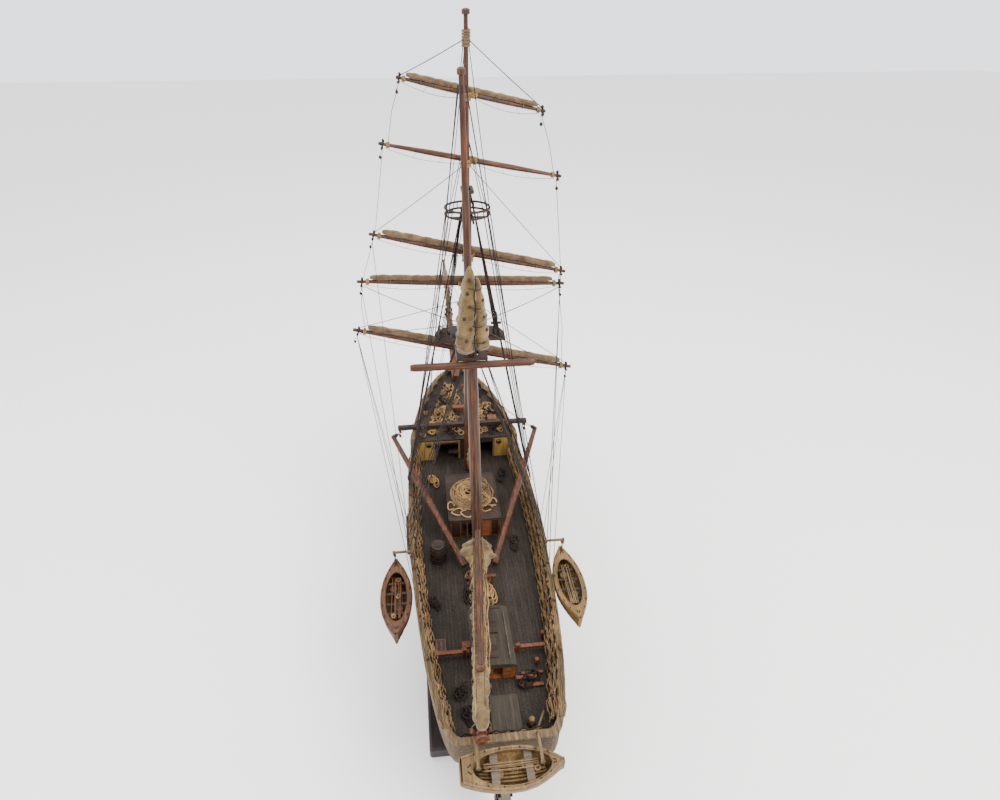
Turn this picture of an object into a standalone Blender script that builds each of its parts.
"""Wooden model of a two-masted whaling brigantine on a flat display board.

World frame: metres, +Z up, +Y towards the bow, +X to starboard.  The origin is
the middle of the display board's underside.  Everything on the ship is placed
in ship coordinates: X from the centreline, Y from the main mast's foot and Z
from the top of the main deck, under one empty called ship_datum.
"""
import math

import bmesh
import bpy
from mathutils import Vector

# ---------------------------------------------------------------- dimensions
GAP = 0.0003                  # clearance between pieces that touch

# display board and its two keel stands
BOARD_LENGTH = 0.452
BOARD_WIDTH = 0.148
BOARD_THICK = 0.020
BOARD_EDGE = 0.003
BOARD_AFT_OF_MAST = 0.162     # main mast to the board's aft edge
STAND_LENGTH = 0.016
STAND_WIDTH = 0.046
STAND_HEIGHT = 0.018
STAND_NECK = 0.013            # half width of a stand's top

# hull
DECK_TO_BOARD = 0.132         # top of the main deck above the board
HALF_BEAM = 0.084
MIDSHIP_Y = 0.060
STEM_Y = 0.389                # fore end of the deck outline
STERN_Y = -0.237              # aft face of the transom
FOREFOOT_Y = 0.338            # fore end of the keel line
STERNPOST_Y = -0.212          # aft end of the keel line
TRANSOM_SHARE = 0.49          # transom half width over half beam
HULL_DEPTH = 0.117            # main deck down to the bottom plank
KEEL_HALF = 0.0045
KEEL_DEPTH = 0.008
DECK_THICK = 0.0020
BULWARK_HEIGHT = 0.024
BULWARK_THICK = 0.0030
HULL_LEVELS = (0.0, 0.04, 0.12, 0.28, 0.50, 0.64, 0.76, 0.88, 1.0)
SHEER_BOW = 0.018
SHEER_STERN = 0.008
CAP_THICK = 0.0030
CAP_WIDTH = 0.0070
CAP_OVERHANG = 0.0018
CHANNEL_WIDTH = 0.0060
CHANNEL_THICK = 0.0020
CHANNEL_Z = 0.016

# forecastle
BREAK_Y = 0.200               # aft face of the forecastle bulkhead
FORECASTLE_Z = 0.0385
FORECASTLE_TOE = 0.0035       # bulwark above the forecastle deck
BREAK_RAMP = 0.0120           # length of the rail's step up to the forecastle
FORECASTLE_THICK = 0.0020
BULKHEAD_THICK = 0.0030
DOOR_INNER = 0.0090
DOOR_OUTER = 0.0440
DOOR_HEIGHT = 0.0290
PORTHOLE_RADIUS = 0.0032
PORTHOLE_X = 0.0530
PORTHOLE_BELOW_DECK = 0.0100  # centre below the forecastle planks
CATHEAD_Y = 0.222
CATHEAD_HALF = 0.098
CATHEAD_SIZE = 0.0060

# rudder
RUDDER_THICK = 0.0140
RUDDER_CHORD = 0.0240
RUDDER_TOP = -0.038
RUDDER_BOTTOM = -0.118

# main mast
MAIN_LEAN = -0.0272           # port lean, metres per metre of height
MAIN_HEEL_RADIUS = 0.0067
MAIN_HEAD_Z = 0.338
MAIN_HEAD_RADIUS = 0.0052
MAIN_TOP_FOOT_Z = 0.292
MAIN_TOP_RADIUS = 0.0040
MAIN_TRUCK_Z = 0.548
MAIN_TIP_RADIUS = 0.0021
MAIN_TREES_Z = 0.302
TREES_THICK = 0.0035

# fore mast
FORE_Y = 0.174
FORE_X = 0.0060
FORE_HEEL_RADIUS = 0.0080
FORE_HEAD_Z = 0.252
FORE_HEAD_RADIUS = 0.0064
FORE_TOP_Z = 0.230
FORE_TOP_THICK = 0.0030
FORE_TOP_HALF = 0.0445
FORE_TOP_DEPTH = 0.042
TOPMAST_FOOT_Z = 0.219
TOPMAST_HEAD_Z = 0.408
TOPMAST_RADIUS = 0.0054
TOPMAST_TIP_RADIUS = 0.0042
HOOP_Z = 0.386
HOOP_RADIUS = 0.0260
HOOP_SECTION = 0.0020
TOPGALLANT_FOOT_Z = 0.372
TOPGALLANT_RADIUS = 0.0036
FORE_TRUCK_Z = 0.580
FORE_TIP_RADIUS = 0.0022
TRUCK_RADIUS = 0.0042
SPREADER_LENGTH = 0.121
SPREADER_RADIUS = 0.0038
SPREADER_Z = 0.296

# bowsprit
BOWSPRIT_STEEVE = math.radians(14.0)
BOWSPRIT_AT_STEM_Z = 0.0560
BOWSPRIT_HEEL_FROM_STEM = -0.036
BOWSPRIT_HEAD_FROM_STEM = 0.131
BOWSPRIT_RADIUS = 0.0070
JIB_BOOM_HEEL_FROM_STEM = 0.061
JIB_BOOM_TIP_FROM_STEM = 0.276
JIB_BOOM_RADIUS = 0.0042
WHISKER_FROM_STEM = 0.078
JIB_STATIONS = (0.111, 0.123, 0.151, 0.186, 0.221, 0.239)
WHISKER_HALF = 0.048
WHISKER_RADIUS = 0.0018

# boom and gaff of the main mast
BOOM_Z = 0.0360
BOOM_END_Z = 0.0520
BOOM_END_Y = -0.2470
BOOM_END_X = -0.0240
BOOM_RADIUS = 0.0040
GAFF_END_Y = -0.1870
GAFF_RADIUS = 0.0042
MAINSAIL_RADIUS = 0.0075

# derrick booms
DERRICK_FOOT = (0.0180, -0.0160, 0.0100)
DERRICK_TIP = (0.1040, 0.1850, 0.0620)
DERRICK_RADIUS = 0.0050

# boats
BOAT_LENGTH = 0.103
BOAT_HALF_BEAM = 0.0175
BOAT_DEPTH = 0.0170
BOAT_SKIN = 0.0013
BOAT_CLEAR = 0.0030           # moulded side of a boat to the rail cap
BOAT_Y = -0.0600
BOAT_Z = 0.0180               # gunwale amidships
STERN_BOAT_LENGTH = 0.092
STERN_DAVIT_X = 0.0285
STERN_DAVIT_RISE = 0.0095     # stern davit head above that boat's gunwale
DAVIT_RADIUS = 0.0016
DAVIT_RISE = 0.0210           # davit head above a boat's gunwale

# deck fittings
FORE_HOUSE_SIZE = (0.064, 0.084, 0.0320)
FORE_HOUSE_Y = 0.0805
FORE_HOUSE_ROOF = 0.0020
RECESS_X = -0.0100
RECESS_WIDTH = 0.0120
RECESS_DEEP = 0.0100
RECESS_HEIGHT = 0.0240
RECESS_SILL = 0.0020
COIL_PLACE = (-0.0010, 0.0810)
COIL_RADIUS = 0.0310
COIL_HOLE = 0.0060
COIL_HEIGHT = 0.0070
DECK_HOUSE_SIZE = (0.0430, 0.0680, 0.0215)
DECK_HOUSE_Y = -0.125
DECK_HOUSE_CROWN = 0.0050
DOORWAY_X = 0.0030
DOORWAY_WIDTH = 0.0095
DOORWAY_HEIGHT = 0.0185
DOORWAY_DEEP = 0.0080
DOOR_THICK = 0.0012
CABIN_SIZE = (0.0290, 0.0420, 0.0200)
CABIN_PLACE = (0.0040, -0.2080)
BARREL_RADIUS = 0.0105
BARREL_HEIGHT = 0.0270
BARREL_PLACE = (-0.0500, 0.0060)
FIFE_WIDTH = 0.0340
FIFE_HEIGHT = 0.0160
FIFE_Y = -0.0400
BREAK_RAIL_Y = -0.1300
BREAK_RAIL_HEIGHT = 0.0100

DECK_Z = BOARD_THICK + DECK_TO_BOARD
MAIN_MAST_Y = BOARD_AFT_OF_MAST - BOARD_LENGTH / 2

# ---------------------------------------------------------------- scene setup
for old in list(bpy.data.objects):
    bpy.data.objects.remove(old, do_unlink=True)

PARTS = bpy.data.collections.new("whaling_brigantine_model")
CUTTERS = bpy.data.collections.new("cutters")
bpy.context.scene.collection.children.link(PARTS)
bpy.context.scene.collection.children.link(CUTTERS)

DATUM = bpy.data.objects.new("ship_datum", None)
DATUM.location = (0.0, MAIN_MAST_Y, DECK_Z)
PARTS.objects.link(DATUM)
bpy.context.view_layer.update()


def finish_material(name, colour, roughness, metallic=0.0):
    mat = bpy.data.materials.new(name)
    mat.use_nodes = True
    shader = mat.node_tree.nodes["Principled BSDF"]
    shader.inputs["Base Color"].default_value = (*colour, 1.0)
    shader.inputs["Roughness"].default_value = roughness
    shader.inputs["Metallic"].default_value = metallic
    return mat


BLACK_WOOD = finish_material("black_stained_wood", (0.028, 0.020, 0.024), 0.35)
HULL_WOOD = finish_material("weathered_hull_wood", (0.20, 0.145, 0.065), 0.75)
GREEN_WOOD = finish_material("green_bottom_paint", (0.12, 0.13, 0.075), 0.7)
DECK_WOOD = finish_material("dark_deck_wood", (0.065, 0.048, 0.038), 0.7)
VARNISH = finish_material("red_varnished_spar", (0.15, 0.050, 0.022), 0.35)
DARK_SPAR = finish_material("dark_spar", (0.055, 0.030, 0.020), 0.5)
YELLOW_PAINT = finish_material("yellow_paint", (0.47, 0.33, 0.09), 0.6)
ORANGE_WOOD = finish_material("orange_wood", (0.28, 0.10, 0.035), 0.55)
GREY_ROOF = finish_material("grey_roof", (0.085, 0.078, 0.070), 0.7)
PALE_CANVAS = finish_material("pale_canvas", (0.46, 0.35, 0.17), 0.95)
OLIVE_CANVAS = finish_material("olive_canvas", (0.20, 0.145, 0.07), 0.95)
BOAT_TAN = finish_material("tan_boat_wood", (0.30, 0.215, 0.095), 0.6)
BOAT_BROWN = finish_material("brown_boat_wood", (0.16, 0.085, 0.04), 0.55)
OLD_ROPE = finish_material("old_rope", (0.27, 0.19, 0.09), 0.95)


# ---------------------------------------------------------------- helpers
def put(obj, mat, place=(0.0, 0.0, 0.0), turn=(0.0, 0.0, 0.0), cutter=False):
    """Link an object, give it its finish and place it in ship coordinates."""
    (CUTTERS if cutter else PARTS).objects.link(obj)
    obj.parent = DATUM
    obj.location = place
    obj.rotation_euler = turn
    if cutter:
        obj.hide_render = True
        obj.display_type = "WIRE"
    else:
        obj.data.materials.append(mat)
    bpy.context.view_layer.update()
    return obj


def mesh_object(name, bm, mat, place=(0.0, 0.0, 0.0), turn=(0.0, 0.0, 0.0), cutter=False):
    bmesh.ops.recalc_face_normals(bm, faces=bm.faces)
    mesh = bpy.data.meshes.new(name)
    bm.to_mesh(mesh)
    bm.free()
    return put(bpy.data.objects.new(name, mesh), mat, place, turn, cutter)


def box(name, size, mat, place, turn=(0.0, 0.0, 0.0), bevel=0.0, cutter=False):
    """A box given by its full size, placed by the middle of its underside."""
    bm = bmesh.new()
    bmesh.ops.create_cube(bm, size=1.0)
    bmesh.ops.scale(bm, vec=size, verts=bm.verts)
    bmesh.ops.translate(bm, vec=(0.0, 0.0, size[2] / 2), verts=bm.verts)
    obj = mesh_object(name, bm, mat, place, turn, cutter)
    if bevel:
        edge = obj.modifiers.new("bevel", "BEVEL")
        edge.width = bevel
        edge.segments = 2
    return obj


def rod(name, radius, length, mat, place, turn=(0.0, 0.0, 0.0), sides=16, cutter=False):
    """A round rod standing on its underside's middle."""
    bm = bmesh.new()
    bmesh.ops.create_cone(bm, cap_ends=True, segments=sides, radius1=radius,
                          radius2=radius, depth=length)
    bmesh.ops.translate(bm, vec=(0.0, 0.0, length / 2), verts=bm.verts)
    return mesh_object(name, bm, mat, place, turn, cutter)


def spar(name, points, radii, mat, origin, resolution=3):
    """A tapering round spar through points in ship coordinates."""
    curve = bpy.data.curves.new(name, "CURVE")
    curve.dimensions = "3D"
    curve.bevel_depth = max(radii)
    curve.bevel_resolution = resolution
    curve.use_fill_caps = True
    line = curve.splines.new("POLY")
    line.points.add(len(points) - 1)
    for point, place, radius in zip(line.points, points, radii):
        local = Vector(place) - Vector(origin)
        point.co = (*local, 1.0)
        point.radius = radius / curve.bevel_depth
    return put(bpy.data.objects.new(name, curve), mat, origin)


def flat(name, outline, thickness, mat, place, turn=(0.0, 0.0, 0.0), cutter=False):
    """A flat outline extruded to both sides of its own plane."""
    curve = bpy.data.curves.new(name, "CURVE")
    curve.dimensions = "2D"
    curve.fill_mode = "BOTH"
    curve.extrude = thickness / 2
    line = curve.splines.new("POLY")
    line.points.add(len(outline) - 1)
    for point, (x, y) in zip(line.points, outline):
        point.co = (x, y, 0.0, 1.0)
    line.use_cyclic_u = True
    return put(bpy.data.objects.new(name, curve), mat, place, turn, cutter)


def as_mesh(obj):
    """Turn a curve object into a welded mesh object of the same name."""
    depsgraph = bpy.context.evaluated_depsgraph_get()
    mesh = bpy.data.meshes.new_from_object(obj.evaluated_get(depsgraph))
    bm = bmesh.new()
    bm.from_mesh(mesh)
    bmesh.ops.remove_doubles(bm, verts=bm.verts, dist=0.00001)
    bm.to_mesh(mesh)
    bm.free()
    name = obj.name
    matrix = obj.matrix_world.copy()
    home = obj.users_collection[0]
    bpy.data.objects.remove(obj, do_unlink=True)
    solid = bpy.data.objects.new(name, mesh)
    home.objects.link(solid)
    solid.parent = DATUM
    solid.matrix_world = matrix
    if home == CUTTERS:
        solid.hide_render = True
        solid.display_type = "WIRE"
    bpy.context.view_layer.update()
    return solid


def combine(obj, tool, operation="DIFFERENCE"):
    step = obj.modifiers.new(operation.lower(), "BOOLEAN")
    step.operation = operation
    step.solver = "EXACT"
    step.object = tool


def mix(a, b, t):
    return a + (b - a) * t


def smooth(t):
    t = min(max(t, 0.0), 1.0)
    return t * t * (3.0 - 2.0 * t)


# ---------------------------------------------------------------- hull form
def stem_line(depth_share):
    """Fore end of the hull at a share of its depth, 0 at the bottom, 1 at the deck."""
    return mix(FOREFOOT_Y, STEM_Y, depth_share ** 1.6)


def stern_line(depth_share):
    return mix(STERNPOST_Y, STERN_Y, smooth((depth_share - 0.55) / 0.45))


def hull_point(u, depth_share, inset=0.0):
    """Starboard skin: u runs from -1 at the stern over 0 amidships to 1 at the bow."""
    if u >= 0.0:
        y = mix(MIDSHIP_Y, stem_line(depth_share) - inset, u)
        plan = (1.0 - u ** 2.3) ** 0.6
        fine = mix(0.20, 0.75, u ** 2)
    else:
        t = -u
        y = mix(MIDSHIP_Y, stern_line(depth_share) + inset, t)
        transom = TRANSOM_SHARE * smooth((depth_share - 0.50) / 0.40)
        plan = transom + (1.0 - transom) * (1.0 - t ** 1.7) ** 0.5
        fine = mix(0.20, 1.30, t ** 2)
    half = KEEL_HALF + (HALF_BEAM - inset - KEEL_HALF) * plan * depth_share ** fine
    return half, y


def plan_steps(count):
    """Stations crowded towards both ends, where the outline turns fastest."""
    return [math.sin(math.pi / 2 * (2.0 * i / count - 1.0)) for i in range(count + 1)]


def deck_outline(inset, count=26, aft=None, fore=None, extra=()):
    """Closed deck outline, inset from the skin, cut square at aft and fore."""
    side = [(half_breadth(y, inset), y) for y in extra]
    for u in plan_steps(count):
        half, y = hull_point(u, 1.0, inset)
        side.append((half, y))
    side.sort(key=lambda point: point[1])
    if fore is not None:
        kept = [p for p in side if p[1] < fore]
        side = kept + [(half_breadth(fore, inset), fore)]
    if aft is not None:
        kept = [p for p in side if p[1] > aft]
        side = [(half_breadth(aft, inset), aft)] + kept
    return side + [(-x, y) for x, y in reversed(side)]


def half_breadth(y, inset=0.0):
    """Half width of the deck outline at one Y."""
    if y >= MIDSHIP_Y:
        u = (y - MIDSHIP_Y) / (STEM_Y - inset - MIDSHIP_Y)
    else:
        u = (y - MIDSHIP_Y) / (MIDSHIP_Y - STERN_Y - inset)
    return hull_point(max(-1.0, min(1.0, u)), 1.0, inset)[0]


def rail_z(y):
    """Top of the bulwark above the main deck, with its sheer and its step at the break."""
    if y >= MIDSHIP_Y:
        waist = BULWARK_HEIGHT + SHEER_BOW * ((y - MIDSHIP_Y) / (STEM_Y - MIDSHIP_Y)) ** 2
        step = smooth((y - BREAK_Y + BREAK_RAMP) / BREAK_RAMP)
        return mix(waist, FORECASTLE_Z + FORECASTLE_TOE, step)
    return BULWARK_HEIGHT + SHEER_STERN * ((MIDSHIP_Y - y) / (MIDSHIP_Y - STERN_Y)) ** 2


def loft(name, loops, mat):
    """A solid between closed loops of equal length, stacked from below."""
    bm = bmesh.new()
    rings = [[bm.verts.new(p) for p in loop] for loop in loops]
    for low, high in zip(rings, rings[1:]):
        for i in range(len(low)):
            j = (i + 1) % len(low)
            bm.faces.new((low[i], low[j], high[j], high[i]))
    bm.faces.new(rings[0])
    bm.faces.new(rings[-1])
    return mesh_object(name, bm, mat)


def ring_wall(name, outer, inner, low, high, mat):
    """A closed wall between two outlines, with its own underside and top heights."""
    bm = bmesh.new()
    corners = []
    for line, level in ((outer, low), (outer, high), (inner, high), (inner, low)):
        corners.append([bm.verts.new((x, y, level(y))) for x, y in line])
    for a, b in zip(corners, corners[1:] + corners[:1]):
        for i in range(len(a)):
            j = (i + 1) % len(a)
            bm.faces.new((a[i], a[j], b[j], b[i]))
    return mesh_object(name, bm, mat)


def build_hull():
    top_z = -DECK_THICK - GAP
    loops = []
    for share in HULL_LEVELS:
        side = [hull_point(u, share) for u in plan_steps(26)]
        z = mix(-HULL_DEPTH, top_z, share)
        loops.append([(x, y, z) for x, y in side] + [(-x, y, z) for x, y in reversed(side)])
    loft("hull_body", loops, HULL_WOOD)


def build_keel():
    """Stem, keel and sternpost sawn as one curved piece under the hull."""
    top_z = -DECK_THICK - GAP
    stem_in = [(stem_line(s) + GAP, mix(-HULL_DEPTH, top_z, s)) for s in HULL_LEVELS]
    keel_z = -HULL_DEPTH - GAP
    post_top = mix(-HULL_DEPTH, top_z, 0.50)
    inner = [(STERNPOST_Y - GAP, post_top), (STERNPOST_Y - GAP, keel_z)]
    inner += [(stem_in[0][0], keel_z)] + stem_in[1:]
    outer = [(y + KEEL_DEPTH, z) for y, z in reversed(stem_in[1:])]
    outer += [(FOREFOOT_Y, keel_z - KEEL_DEPTH)]
    outer += [(STERNPOST_Y - KEEL_DEPTH, keel_z - KEEL_DEPTH), (STERNPOST_Y - KEEL_DEPTH, post_top)]
    flat("keel_and_stem", inner + outer, 2 * KEEL_HALF, GREEN_WOOD, (0.0, 0.0, 0.0),
         (math.pi / 2, 0.0, math.pi / 2))


def step_stations():
    """Extra outline stations that carry the rail's step at the break."""
    return [BREAK_Y + BREAK_RAMP * (share - 1.0) for share in (0.0, 0.2, 0.4, 0.6, 0.8, 1.0)]


def build_bulwark():
    outer = deck_outline(0.0, extra=step_stations())
    inner = deck_outline(BULWARK_THICK, extra=step_stations())
    wall = ring_wall("bulwark", outer, inner, lambda y: -DECK_THICK, rail_z, HULL_WOOD)
    for side in (-1, 1):
        for label, aft, fore in (("main", 0.004, 0.068), ("fore", 0.140, 0.188)):
            middle = (aft + fore) / 2
            x = min(half_breadth(aft), half_breadth(fore)) + CHANNEL_WIDTH / 2 - 0.0006
            lean = math.atan2(half_breadth(fore) - half_breadth(aft), fore - aft)
            board = box(f"{label}_channel_{side}", (CHANNEL_WIDTH + 0.0016, fore - aft, CHANNEL_THICK),
                        None, (side * x, middle, CHANNEL_Z), (0.0, 0.0, -side * lean), cutter=True)
            combine(wall, board, "UNION")


def cap_lift(y):
    return rail_z(y) + GAP


def cap_top(y):
    return rail_z(y) + GAP + CAP_THICK


def build_rail_cap():
    outer = deck_outline(-CAP_OVERHANG, extra=step_stations())
    inner = deck_outline(CAP_WIDTH - CAP_OVERHANG, extra=step_stations())
    ring_wall("rail_cap", outer, inner, cap_lift, cap_top, HULL_WOOD)


def build_decks():
    inset = BULWARK_THICK + GAP
    flat("main_deck", deck_outline(inset), DECK_THICK - GAP, DECK_WOOD,
         (0.0, 0.0, -(DECK_THICK - GAP) / 2))
    flat("forecastle_deck", deck_outline(inset, aft=BREAK_Y - 0.0010), FORECASTLE_THICK,
         DECK_WOOD, (0.0, 0.0, FORECASTLE_Z - FORECASTLE_THICK / 2))


def build_bulkhead():
    height = FORECASTLE_Z - FORECASTLE_THICK - 2 * GAP
    middle_y = BREAK_Y + BULKHEAD_THICK / 2
    half = half_breadth(BREAK_Y + BULKHEAD_THICK, BULWARK_THICK) - GAP
    wall = box("forecastle_bulkhead", (2 * half, BULKHEAD_THICK, height), YELLOW_PAINT,
               (0.0, middle_y, GAP))
    for side in (-1, 1):
        x = side * (DOOR_INNER + DOOR_OUTER) / 2
        door = box(f"bulkhead_door_{side}", (DOOR_OUTER - DOOR_INNER, 3 * BULKHEAD_THICK,
                                             2 * DOOR_HEIGHT), None, (x, middle_y, -DOOR_HEIGHT),
                   cutter=True)
        combine(wall, door)
        hole = rod(f"bulkhead_port_{side}", PORTHOLE_RADIUS, 3 * BULKHEAD_THICK, None,
                   (side * PORTHOLE_X, middle_y + 1.5 * BULKHEAD_THICK, height - PORTHOLE_BELOW_DECK),
                   (math.pi / 2, 0.0, 0.0), cutter=True)
        combine(wall, hole)


def build_rudder():
    """Rudder blade, round at its pintle line and thin at its trailing edge."""
    radius = RUDDER_THICK / 2
    nose = [(radius * math.sin(a), radius * math.cos(a))
            for a in [math.pi / 2 * (k / 4 - 1.0) for k in range(9)]]
    outline = [(x, y) for x, y in nose] + [(radius * 0.55, -RUDDER_CHORD), (-radius * 0.55, -RUDDER_CHORD)]
    height = RUDDER_TOP - RUDDER_BOTTOM
    flat("rudder", outline, height, GREEN_WOOD,
         (0.0, STERNPOST_Y - KEEL_DEPTH - GAP - radius, (RUDDER_TOP + RUDDER_BOTTOM) / 2))


# ---------------------------------------------------------------- masts
def main_axis(z, aft=0.0):
    return (MAIN_LEAN * z, aft, z)


def fore_axis(z, forward=0.0):
    return (FORE_X, FORE_Y + forward, z)


MAIN_DOUBLING = MAIN_HEAD_RADIUS + MAIN_TOP_RADIUS + 0.0012
FORE_DOUBLING = FORE_HEAD_RADIUS + TOPMAST_RADIUS + 0.0016
TOPGALLANT_STEP = FORE_DOUBLING + TOPMAST_TIP_RADIUS + TOPGALLANT_RADIUS + 0.0014


def mast_trees(name, size, z, holes, mat):
    """A flat cross-tree block with a clearance hole for every mast in it."""
    middle_y = sum(hole[1] for hole in holes) / len(holes)
    block = box(name, size, mat, (holes[0][0], middle_y, z - size[2] / 2))
    for number, (x, y, radius) in enumerate(holes):
        cutter = rod(f"{name}_hole_{number}", radius + 2 * GAP, 4 * size[2], None,
                     (x, y, z - 2 * size[2]), cutter=True)
        combine(block, cutter)
    return block


def truck(z, radius, tip):
    """Radii and heights of a masthead's button above its tip."""
    return [(z - 0.0058, tip), (z - 0.0050, radius), (z - 0.0012, radius), (z, radius * 0.5)]


def build_main_mast():
    foot = main_axis(2 * GAP)
    spar("main_lower_mast", [foot, main_axis(0.15), main_axis(MAIN_HEAD_Z)],
         [MAIN_HEEL_RADIUS, MAIN_HEEL_RADIUS * 0.97, MAIN_HEAD_RADIUS], VARNISH, foot, 4)
    head = truck(MAIN_TRUCK_Z, TRUCK_RADIUS * 0.8, MAIN_TIP_RADIUS)
    heights = [(MAIN_TOP_FOOT_Z, MAIN_TOP_RADIUS), (0.40, MAIN_TOP_RADIUS * 0.9)] + head
    points = [main_axis(z, MAIN_DOUBLING) for z, _ in heights]
    spar("main_topmast", points, [r for _, r in heights], VARNISH, points[0], 4)
    middle = main_axis(MAIN_TREES_Z)
    holes = ((middle[0], 0.0, MAIN_HEAD_RADIUS + 0.0012),
             (middle[0], MAIN_DOUBLING, MAIN_TOP_RADIUS))
    mast_trees("main_crosstrees", (0.030, 0.031, TREES_THICK), MAIN_TREES_Z, holes, DARK_SPAR)
    y = -MAIN_HEAD_RADIUS - SPREADER_RADIUS - 0.0016
    x = MAIN_LEAN * SPREADER_Z
    half = SPREADER_LENGTH / 2
    tips = [(x - half, y, SPREADER_Z), (x - half + 0.004, y, SPREADER_Z),
            (x + half - 0.004, y, SPREADER_Z), (x + half, y, SPREADER_Z)]
    blunt = SPREADER_RADIUS * 0.8
    spar("main_spreader", tips, [blunt, SPREADER_RADIUS, SPREADER_RADIUS, blunt], VARNISH,
         (x, y, SPREADER_Z))


def build_fore_mast():
    foot = fore_axis(2 * GAP)
    spar("fore_lower_mast", [foot, fore_axis(0.12), fore_axis(FORE_HEAD_Z)],
         [FORE_HEEL_RADIUS, FORE_HEEL_RADIUS * 0.97, FORE_HEAD_RADIUS], VARNISH, foot, 4)
    foot = fore_axis(TOPMAST_FOOT_Z, FORE_DOUBLING)
    spar("fore_topmast", [foot, fore_axis(0.30, FORE_DOUBLING),
                          fore_axis(TOPMAST_HEAD_Z, FORE_DOUBLING)],
         [TOPMAST_RADIUS, TOPMAST_RADIUS * 0.95, TOPMAST_TIP_RADIUS], VARNISH, foot, 4)
    head = truck(FORE_TRUCK_Z, TRUCK_RADIUS, FORE_TIP_RADIUS)
    heights = [(TOPGALLANT_FOOT_Z, TOPGALLANT_RADIUS), (0.47, TOPGALLANT_RADIUS * 0.85)] + head
    points = [fore_axis(z, TOPGALLANT_STEP) for z, _ in heights]
    spar("fore_topgallant_mast", points, [r for _, r in heights], VARNISH, points[0], 4)
    deep = FORE_TOP_DEPTH
    aft = FORE_Y - deep * 0.45
    outline = [(-FORE_TOP_HALF, 0.0), (FORE_TOP_HALF, 0.0), (FORE_TOP_HALF, deep * 0.45)]
    outline += [(FORE_TOP_HALF * math.cos(a), deep * (0.45 + 0.55 * math.sin(a)))
                for a in [math.pi * k / 8 for k in range(1, 8)]]
    outline += [(-FORE_TOP_HALF, deep * 0.45)]
    top = as_mesh(flat("fore_top", outline, FORE_TOP_THICK, DARK_SPAR, (FORE_X, aft, FORE_TOP_Z)))
    for number, (forward, radius) in enumerate(((0.0, FORE_HEEL_RADIUS), (FORE_DOUBLING, TOPMAST_RADIUS))):
        hole = rod(f"fore_top_hole_{number}", radius + 2 * GAP, 4 * FORE_TOP_THICK, None,
                   fore_axis(FORE_TOP_Z - 2 * FORE_TOP_THICK, forward), cutter=True)
        combine(top, hole)


def build_hoops():
    """Lookout hoop on its cross-trees, one ring with three bars under it."""
    middle_y = FORE_Y + (FORE_DOUBLING + TOPGALLANT_STEP) / 2
    bm = bmesh.new()
    bmesh.ops.create_cube(bm, size=1.0)
    bmesh.ops.scale(bm, vec=(2 * HOOP_RADIUS, 0.0240, TREES_THICK), verts=bm.verts)
    trees = mesh_object("lookout_hoops", bm, DARK_SPAR, (FORE_X, middle_y, HOOP_Z))
    bpy.ops.mesh.primitive_torus_add(major_radius=HOOP_RADIUS, minor_radius=HOOP_SECTION,
                                     major_segments=24, minor_segments=6)
    ring = bpy.context.object
    ring.name = "hoop_ring"
    for home in list(ring.users_collection):
        home.objects.unlink(ring)
    put(ring, None, (FORE_X, middle_y, HOOP_Z), cutter=True)
    combine(trees, ring, "UNION")
    for number, (forward, radius) in enumerate(((FORE_DOUBLING, TOPMAST_RADIUS),
                                                (TOPGALLANT_STEP, TOPGALLANT_RADIUS))):
        hole = rod(f"hoop_hole_{number}", radius + GAP, 6 * TREES_THICK, None,
                   fore_axis(HOOP_Z - 3 * TREES_THICK, forward), cutter=True)
        combine(trees, hole)


def bowsprit_point(along, lift=0.0, x=0.0):
    """A point so far ahead of the stem, lifted square to the bowsprit."""
    return (x, STEM_Y + along - lift * math.sin(BOWSPRIT_STEEVE),
            BOWSPRIT_AT_STEM_Z + along * math.tan(BOWSPRIT_STEEVE) + lift * math.cos(BOWSPRIT_STEEVE))


def build_bowsprit():
    heel = bowsprit_point(BOWSPRIT_HEEL_FROM_STEM)
    spar("bowsprit", [heel, bowsprit_point(0.0), bowsprit_point(BOWSPRIT_HEAD_FROM_STEM)],
         [BOWSPRIT_RADIUS, BOWSPRIT_RADIUS, BOWSPRIT_RADIUS * 0.8], VARNISH, heel, 4)
    lift = BOWSPRIT_RADIUS + JIB_BOOM_RADIUS + GAP
    heel = bowsprit_point(JIB_BOOM_HEEL_FROM_STEM, lift)
    middle = bowsprit_point(mix(JIB_BOOM_HEEL_FROM_STEM, JIB_BOOM_TIP_FROM_STEM, 0.465), lift)
    spar("jib_boom", [heel, middle, bowsprit_point(JIB_BOOM_TIP_FROM_STEM, lift)],
         [JIB_BOOM_RADIUS, JIB_BOOM_RADIUS * 0.95, JIB_BOOM_RADIUS * 0.55], VARNISH, heel, 3)
    lift += JIB_BOOM_RADIUS + 0.0050 + GAP
    sail = [bowsprit_point(along, lift) for along in JIB_STATIONS]
    spar("jib_furled", sail, [0.0020, 0.0040, 0.0048, 0.0044, 0.0036, 0.0018], PALE_CANVAS,
         sail[0], 2)
    drop = -BOWSPRIT_RADIUS - WHISKER_RADIUS - GAP
    middle = bowsprit_point(WHISKER_FROM_STEM, drop)
    ends = [bowsprit_point(WHISKER_FROM_STEM, drop, x) for x in (-WHISKER_HALF, 0.0, WHISKER_HALF)]
    spar("whisker_boom", ends, [WHISKER_RADIUS * 0.7, WHISKER_RADIUS, WHISKER_RADIUS * 0.7],
         DARK_SPAR, middle, 2)


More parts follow.
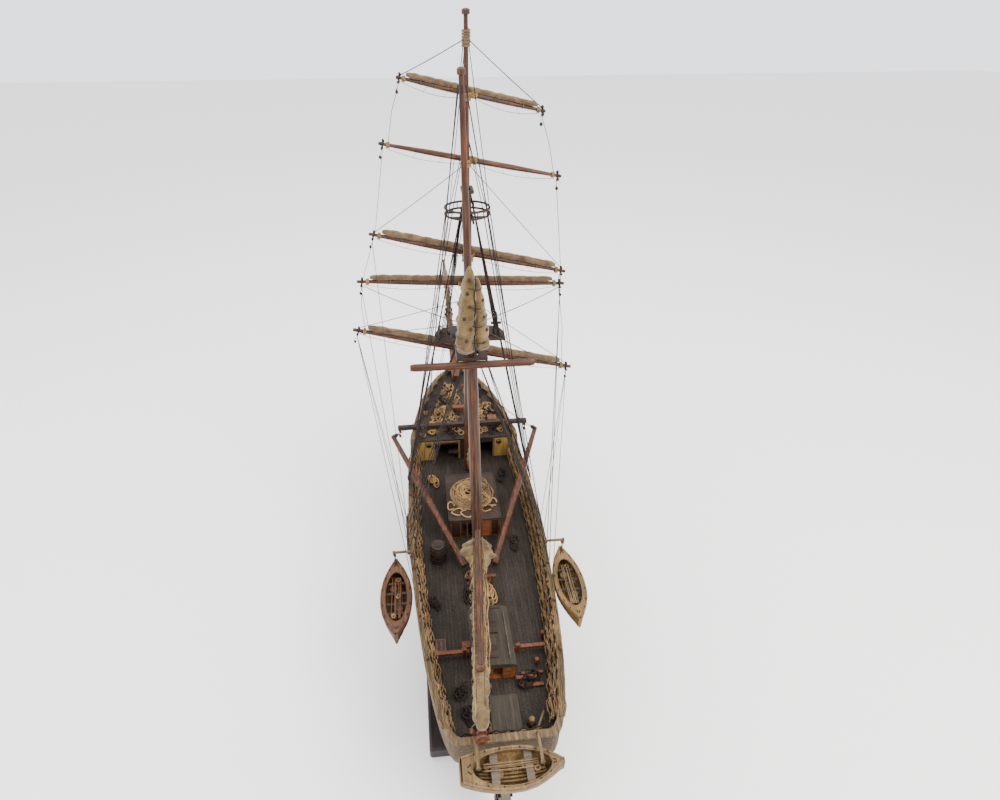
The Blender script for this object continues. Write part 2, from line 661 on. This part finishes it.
# ---------------------------------------------------------------- yards
# name, length, middle height, port end up by degrees, radius, mast's own forward
# offset, mast's radius there, radius of its furled sail (0 for a bare yard), and how
# far to starboard of the mast its middle is slung
YARDS = (
    ("royal_yard", 0.1648, 0.502, 12.4, 0.0030, TOPGALLANT_STEP, 0.0036, 0.0036, 0.0075),
    ("topgallant_yard", 0.2124, 0.435, 11.0, 0.0034, TOPGALLANT_STEP, 0.0036, 0.0, 0.0074),
    ("upper_topsail_yard", 0.2482, 0.328, 13.3, 0.0040, FORE_DOUBLING, 0.0054, 0.0046, 0.0041),
    ("lower_topsail_yard", 0.2620, 0.290, 3.0, 0.0042, FORE_DOUBLING, 0.0054, 0.0042, -0.0061),
    ("course_yard", 0.2994, 0.1995, 14.2, 0.0048, 0.0, FORE_HEEL_RADIUS, 0.0050, -0.0028),
)


def build_yards():
    for name, length, z, cant, radius, step, mast_radius, sail, sling in YARDS:
        clear = mast_radius + radius + 0.0015
        axis = fore_axis(z, step)
        half = length / 2
        tilt = math.radians(cant)

        def along(share, lift=0.0):
            x = share * half
            return (axis[0] + sling + x * math.cos(tilt) + lift * math.sin(tilt), axis[1] + clear,
                    z - x * math.sin(tilt) + lift * math.cos(tilt))

        shares = (-1.0, -0.92, -0.45, 0.0, 0.45, 0.92, 1.0)
        taper = (0.45, 0.55, 0.92, 1.0, 0.92, 0.55, 0.45)
        spar(name, [along(s) for s in shares], [radius * t for t in taper], VARNISH, axis, 2)
        if sail:
            lift = radius + sail + 2 * GAP
            steps = [mix(-0.84, 0.84, k / 8) for k in range(9)]
            fat = [sail * (0.45 if k in (0, 8) else 0.92 + 0.08 * math.cos(1.9 * k)) for k in range(9)]
            spar(name.replace("_yard", "_sail"), [along(s, lift) for s in steps], fat,
                 OLIVE_CANVAS, axis, 2)


# ---------------------------------------------------------------- fore-and-aft gear
def boom_point(y, lift=0.0):
    """A point on the boom's line, lifted square to the deck."""
    axis = main_axis(BOOM_Z)
    share = y / BOOM_END_Y
    return (mix(axis[0], BOOM_END_X, share), y, mix(BOOM_Z, BOOM_END_Z, share) + lift)


def build_boom():
    axis = main_axis(BOOM_Z)
    jaw = -(MAIN_HEEL_RADIUS + 0.0015)
    spar("main_boom", [boom_point(y) for y in (jaw, BOOM_END_Y / 2, BOOM_END_Y)],
         [BOOM_RADIUS * 0.9, BOOM_RADIUS, BOOM_RADIUS * 0.75], VARNISH, axis, 3)
    lift = BOOM_RADIUS + MAINSAIL_RADIUS + 2 * GAP
    steps = [mix(-0.0120, BOOM_END_Y + 0.0060, share) for share in
             (0.0, 0.04, 0.21, 0.39, 0.57, 0.75, 0.93, 1.0)]
    fat = (0.60, 0.95, 1.00, 0.94, 0.88, 0.80, 0.66, 0.40)
    spar("mainsail_furled", [boom_point(y, lift) for y in steps], [MAINSAIL_RADIUS * s for s in fat],
         PALE_CANVAS, axis, 3)
    lift += MAINSAIL_RADIUS + GAFF_RADIUS + 2 * GAP
    spar("main_gaff", [boom_point(y, lift) for y in (jaw, GAFF_END_Y / 2, GAFF_END_Y)],
         [GAFF_RADIUS * 0.9, GAFF_RADIUS, GAFF_RADIUS * 0.7], DARK_SPAR, axis, 3)


def build_sail_bundles():
    """Furled gaff topsail abaft the main masthead and furled staysail at the fore mast."""
    bm = bmesh.new()
    bmesh.ops.create_cube(bm, size=1.0)
    bmesh.ops.scale(bm, vec=(0.036, 0.019, 0.092), verts=bm.verts)
    x, _, z = main_axis(0.3560)
    y = -MAIN_HEAD_RADIUS - 0.0105
    bundle = mesh_object("topsail_bundle", bm, PALE_CANVAS, (x, y, z))
    soft = bundle.modifiers.new("soft", "SUBSURF")
    soft.levels = 2
    soft.render_levels = 2
    y = FORE_Y - FORE_HEEL_RADIUS - 0.0060
    spar("staysail_bundle", [(FORE_X, y, 0.060), (FORE_X, y, 0.052), (FORE_X, y, 0.034),
                             (FORE_X, y, 0.020), (FORE_X, y, 0.012)],
         [0.0020, 0.0046, 0.0050, 0.0044, 0.0022], PALE_CANVAS, (FORE_X, y, 0.036), 2)


def build_derricks():
    for side, name in ((-1, "derrick_port"), (1, "derrick_starboard")):
        foot = Vector(DERRICK_FOOT)
        tip = Vector(DERRICK_TIP)
        foot.x *= side
        tip.x *= side
        spar(name, [tuple(foot), tuple(foot.lerp(tip, 0.5)), tuple(tip)],
             [DERRICK_RADIUS, DERRICK_RADIUS * 0.9, DERRICK_RADIUS * 0.66], VARNISH, tuple(foot), 3)


# ---------------------------------------------------------------- boats
def boat_section(share, length, square_stern):
    """Half breadth, sheer and keel rise at a share of the length, -1 to 1."""
    if share < 0 and square_stern:
        half = BOAT_HALF_BEAM * (1.0 - 0.45 * share ** 2)
    else:
        half = BOAT_HALF_BEAM * (1.0 - abs(share) ** 2.2)
    sheer = 0.0050 * share ** 2
    rise = 0.0065 * abs(share) ** 4
    return max(half, 0.0012), sheer, rise


def build_boat(name, length, mat, place, turn, square_stern=False):
    """An open boat: an outer skin swept from gunwale to gunwale, then thickened."""
    bm = bmesh.new()
    rows = []
    for u in plan_steps(14):
        half, sheer, rise = boat_section(u, length, square_stern)
        row = []
        for k in range(9):
            angle = math.pi * k / 8
            x = half * math.cos(angle)
            z = mix(sheer, rise - BOAT_DEPTH, math.sin(angle) ** 0.8)
            row.append(bm.verts.new((x, u * length / 2, z)))
        rows.append(row)
    for a, b in zip(rows, rows[1:]):
        for p, q, r, s in zip(a, a[1:], b[1:], b):
            bm.faces.new((p, q, r, s))
    bm.faces.new(rows[0])
    bm.faces.new(rows[-1])
    boat = mesh_object(name, bm, mat, place, turn)
    skin = boat.modifiers.new("skin", "SOLIDIFY")
    skin.thickness = BOAT_SKIN
    skin.offset = 1.0
    return boat


def davit(name, points, mat):
    radii = [DAVIT_RADIUS] * (len(points) - 1) + [DAVIT_RADIUS * 1.5]
    return spar(name, points, radii, mat, points[0], 2)


def build_boats():
    rail_x = half_breadth(BOAT_Y) + CAP_OVERHANG
    boat_x = rail_x + BOAT_CLEAR + BOAT_HALF_BEAM
    head_y = BOAT_Y + BOAT_LENGTH / 2 - 0.0030
    head_z = BOAT_Z + DAVIT_RISE
    for side, label, mat in ((-1, "port", BOAT_BROWN), (1, "starboard", BOAT_TAN)):
        build_boat(f"whaleboat_{label}", BOAT_LENGTH, mat, (side * boat_x, BOAT_Y, BOAT_Z),
                   (0.0, 0.0, 0.0))
        foot_x = side * (half_breadth(head_y) - BULWARK_THICK / 2)
        foot_z = cap_top(head_y) + GAP
        davit(f"davit_{label}", [(foot_x, head_y, foot_z), (foot_x, head_y, head_z - 0.003),
                                 (foot_x + side * 0.003, head_y, head_z),
                                 (side * boat_x, head_y, head_z),
                                 (side * (boat_x + 0.003), head_y, head_z)], HULL_WOOD)
    stern_y = STERN_Y - CAP_OVERHANG - BOAT_CLEAR - BOAT_HALF_BEAM
    stern_z = rail_z(STERN_Y) - 0.0020
    build_boat("stern_boat", STERN_BOAT_LENGTH, BOAT_TAN, (0.002, stern_y, stern_z),
               (0.0, 0.0, -math.pi / 2), square_stern=True)
    foot_y = STERN_Y + DAVIT_RADIUS
    for side, label in ((-1, "port"), (1, "starboard")):
        x = side * STERN_DAVIT_X
        foot_z = cap_top(foot_y) + GAP
        head = stern_z + STERN_DAVIT_RISE
        davit(f"stern_davit_{label}", [(x, foot_y, foot_z), (x, foot_y, head - 0.003),
                                       (x, foot_y - 0.003, head), (x, stern_y, head),
                                       (x, stern_y - 0.003, head)], DARK_SPAR)


# ---------------------------------------------------------------- deck fittings
def build_fore_house():
    width, length, height = FORE_HOUSE_SIZE
    house = box("fore_house", FORE_HOUSE_SIZE, ORANGE_WOOD, (0.0, FORE_HOUSE_Y, GAP))
    recess = box("fore_house_opening", (RECESS_WIDTH, 2 * RECESS_DEEP, RECESS_HEIGHT), None,
                 (RECESS_X, FORE_HOUSE_Y - length / 2, GAP + RECESS_SILL), cutter=True)
    combine(house, recess)
    roof_z = height + 2 * GAP
    box("fore_house_roof", (width + 0.003, length + 0.003, FORE_HOUSE_ROOF), DARK_SPAR,
        (0.0, FORE_HOUSE_Y, roof_z))
    rim = COIL_HEIGHT / 2
    profile = [(COIL_RADIUS - rim * (1 - math.cos(a)), rim * (1 + math.sin(a)))
               for a in [math.pi / 2 - math.pi * k / 4 for k in range(5)]]
    profile = [(COIL_HOLE, COIL_HEIGHT)] + profile + [(COIL_HOLE, 0.0), (COIL_HOLE, COIL_HEIGHT)]
    mesh = bpy.data.meshes.new("rope_coil")
    points = profile[:-1]
    edges = [(i, (i + 1) % len(points)) for i in range(len(points))]
    mesh.from_pydata([(x, 0.0, z) for x, z in points], edges, [])
    coil = put(bpy.data.objects.new("rope_coil", mesh), OLD_ROPE,
               (*COIL_PLACE, roof_z + FORE_HOUSE_ROOF + GAP))
    turn = coil.modifiers.new("turn", "SCREW")
    turn.steps = 20
    turn.render_steps = 20
    turn.merge_threshold = 0.00001
    turn.use_merge_vertices = True


def build_deck_house():
    width, length, height = DECK_HOUSE_SIZE
    house = box("deck_house", DECK_HOUSE_SIZE, ORANGE_WOOD, (0.0, DECK_HOUSE_Y, GAP))
    aft = DECK_HOUSE_Y - length / 2
    way = box("deck_house_doorway", (DOORWAY_WIDTH, 2 * DOORWAY_DEEP, DOORWAY_HEIGHT), None,
              (DOORWAY_X, aft, 2 * GAP + 0.0010), cutter=True)
    combine(house, way)
    half = width / 2 + 0.0012
    rise = DECK_HOUSE_CROWN
    outline = [(half * math.cos(a), rise * math.sin(a) ** 0.9 + 0.0015)
               for a in [math.pi * k / 10 for k in range(1, 10)]]
    outline = [(half, 0.0), (half, 0.0015)] + outline + [(-half, 0.0015), (-half, 0.0)]
    flat("deck_house_roof", outline, length + 0.003, GREY_ROOF,
         (0.0, DECK_HOUSE_Y, height + 2 * GAP), (math.pi / 2, 0.0, 0.0))
    hinge = (DOORWAY_X + DOORWAY_WIDTH / 2, aft - GAP, 4 * GAP + 0.0010)
    bm = bmesh.new()
    bmesh.ops.create_cube(bm, size=1.0)
    bmesh.ops.scale(bm, vec=(DOORWAY_WIDTH - 4 * GAP, DOOR_THICK, DOORWAY_HEIGHT - 4 * GAP),
                    verts=bm.verts)
    bmesh.ops.translate(bm, vec=(DOORWAY_WIDTH / 2, -DOOR_THICK / 2, DOORWAY_HEIGHT / 2 - 2 * GAP),
                        verts=bm.verts)
    mesh_object("deck_house_door", bm, ORANGE_WOOD, hinge)


def build_fittings():
    box("aft_cabin", CABIN_SIZE, GREY_ROOF, (*CABIN_PLACE, GAP), bevel=0.0015)
    ribs = [(BARREL_RADIUS * (0.82 + 0.18 * math.sin(math.pi * k / 4)), BARREL_HEIGHT * k / 4)
            for k in range(5)]
    spar("barrel", [(*BARREL_PLACE, GAP + z) for _, z in ribs], [r for r, _ in ribs], ORANGE_WOOD,
         (*BARREL_PLACE, GAP), 3)
    rail = box("fife_rail", (FIFE_WIDTH, 0.0040, 0.0025), ORANGE_WOOD,
               (0.0, FIFE_Y, FIFE_HEIGHT))
    for side in (-1, 1):
        post = box(f"fife_post_{side}", (0.0030, 0.0030, FIFE_HEIGHT), None,
                   (side * (FIFE_WIDTH / 2 - 0.004), FIFE_Y, GAP + 0.0006), cutter=True)
        combine(rail, post, "UNION")
    inner = DECK_HOUSE_SIZE[0] / 2 + 0.0020
    outer = half_breadth(BREAK_RAIL_Y, BULWARK_THICK) - 0.0010
    for side, label in ((-1, "port"), (1, "starboard")):
        beam = box(f"break_rail_{label}", (outer - inner, 0.0040, 0.0030), ORANGE_WOOD,
                   (side * (outer + inner) / 2, BREAK_RAIL_Y, BREAK_RAIL_HEIGHT - 0.0030))
        for share in (0.12, 0.86):
            x = side * mix(inner, outer, share)
            post = box(f"break_post_{label}_{share}", (0.0050, 0.0034, BREAK_RAIL_HEIGHT + 0.0030),
                       None, (x, BREAK_RAIL_Y, GAP), cutter=True)
            combine(beam, post, "UNION")
    cat_z = cap_top(CATHEAD_Y + CATHEAD_SIZE) + GAP
    box("cathead_beam", (2 * CATHEAD_HALF, CATHEAD_SIZE, CATHEAD_SIZE), HULL_WOOD,
        (0.0, CATHEAD_Y, cat_z))
    keel_bottom = -HULL_DEPTH - GAP - KEEL_DEPTH
    board_top = -DECK_TO_BOARD
    for y, label in ((-0.110, "aft"), (0.220, "fore")):
        low = board_top + GAP
        lift = keel_bottom - GAP - low
        cheek = lift + KEEL_DEPTH * 0.7
        slot = KEEL_HALF + GAP
        outline = [(-STAND_WIDTH / 2, 0.0), (STAND_WIDTH / 2, 0.0), (STAND_NECK, lift * 0.6),
                   (STAND_NECK, cheek), (slot, cheek), (slot, lift), (-slot, lift), (-slot, cheek),
                   (-STAND_NECK, cheek), (-STAND_NECK, lift * 0.6)]
        flat(f"stand_{label}", outline, STAND_LENGTH, BLACK_WOOD, (0.0, y, low),
             (math.pi / 2, 0.0, 0.0))
    box("base_board", (BOARD_WIDTH, BOARD_LENGTH, BOARD_THICK), BLACK_WOOD,
        (0.0, -MAIN_MAST_Y, -DECK_Z), bevel=BOARD_EDGE)


build_hull()
build_keel()
build_bulwark()
build_rail_cap()
build_decks()
build_bulkhead()
build_rudder()
build_main_mast()
build_fore_mast()
build_hoops()
build_bowsprit()
build_yards()
build_boom()
build_sail_bundles()
build_derricks()
build_boats()
build_fore_house()
build_deck_house()
build_fittings()
